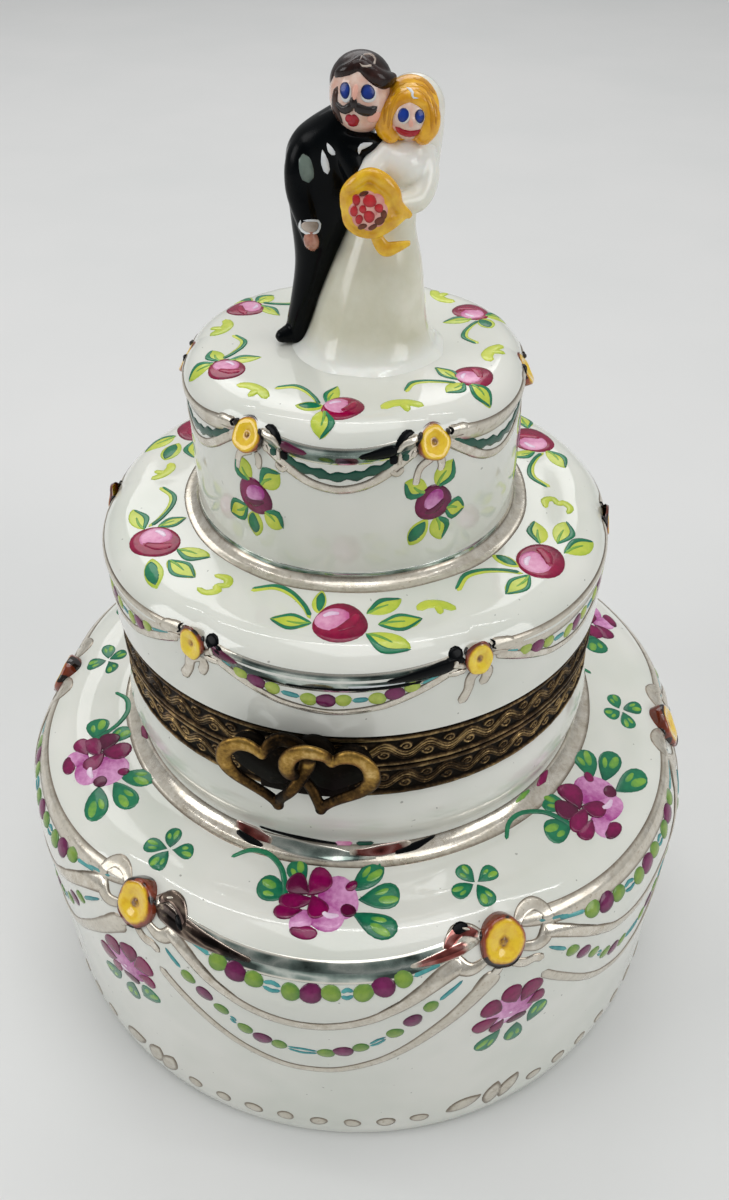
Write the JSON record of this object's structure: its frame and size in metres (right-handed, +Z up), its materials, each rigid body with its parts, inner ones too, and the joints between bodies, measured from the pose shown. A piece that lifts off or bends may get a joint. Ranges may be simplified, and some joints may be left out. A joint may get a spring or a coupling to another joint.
{
  "type": "hinged porcelain trinket box",
  "caption": "Hinged porcelain trinket box shaped as a tiered wedding cake with a bride and groom on top, brass rim bands and a linked-heart clasp.",
  "frame": {"origin": "centre of the foot ring on the surface that the box stands on", "axes": "+Z up along the cake's axis, -Y towards the clasp at the front, +Y towards the hinge, +X to the right of someone facing the clasp"},
  "size_m": [0.0622, 0.0624, 0.0812],
  "materials": {
    "porcelain": "gloss",
    "brass": "antiqued",
    "bright_brass": "antiqued, rubbed bright",
    "yellow_glaze": "gloss",
    "black_glaze": "gloss",
    "skin_glaze": "gloss",
    "ivory_glaze": "gloss"
  },
  "bodies": {
    "box_base": {"base_shell": "porcelain", "base_band": "brass", "base_knuckle_1": "brass", "base_knuckle_2": "brass", "base_knuckle_3": "brass", "hinge_pin": "brass", "catch_ridge": "brass", "base_rosette_1": "yellow_glaze", "base_rosette_2": "yellow_glaze", "base_rosette_3": "yellow_glaze", "base_rosette_4": "yellow_glaze", "base_rosette_5": "yellow_glaze", "base_rosette_6": "yellow_glaze"},
    "box_lid": {"lid_shell": "porcelain", "lid_band": "brass", "lid_knuckle_1": "brass", "lid_knuckle_2": "brass", "clasp_tongue": "brass", "left_heart": "bright_brass", "right_heart": "bright_brass", "mid_rosette_1": "yellow_glaze", "mid_rosette_2": "yellow_glaze", "mid_rosette_3": "yellow_glaze", "mid_rosette_4": "yellow_glaze", "mid_rosette_5": "yellow_glaze", "mid_rosette_6": "yellow_glaze", "top_rosette_1": "yellow_glaze", "top_rosette_2": "yellow_glaze", "top_rosette_3": "yellow_glaze", "top_rosette_4": "yellow_glaze", "top_rosette_5": "yellow_glaze", "top_rosette_6": "yellow_glaze", "groom_suit": "black_glaze", "groom_head": "skin_glaze", "bride_gown": "ivory_glaze", "bride_head": "skin_glaze", "bride_veil": "ivory_glaze", "bouquet": "yellow_glaze"}
  },
  "joints": [
    {"name": "lid_hinge", "type": "hinge", "parent": "box_base", "child": "box_lid", "pos_m": [0, 0.02165, 0.03846], "axis": [-1, 0, 0], "range_deg": [0, 105]}
  ]
}
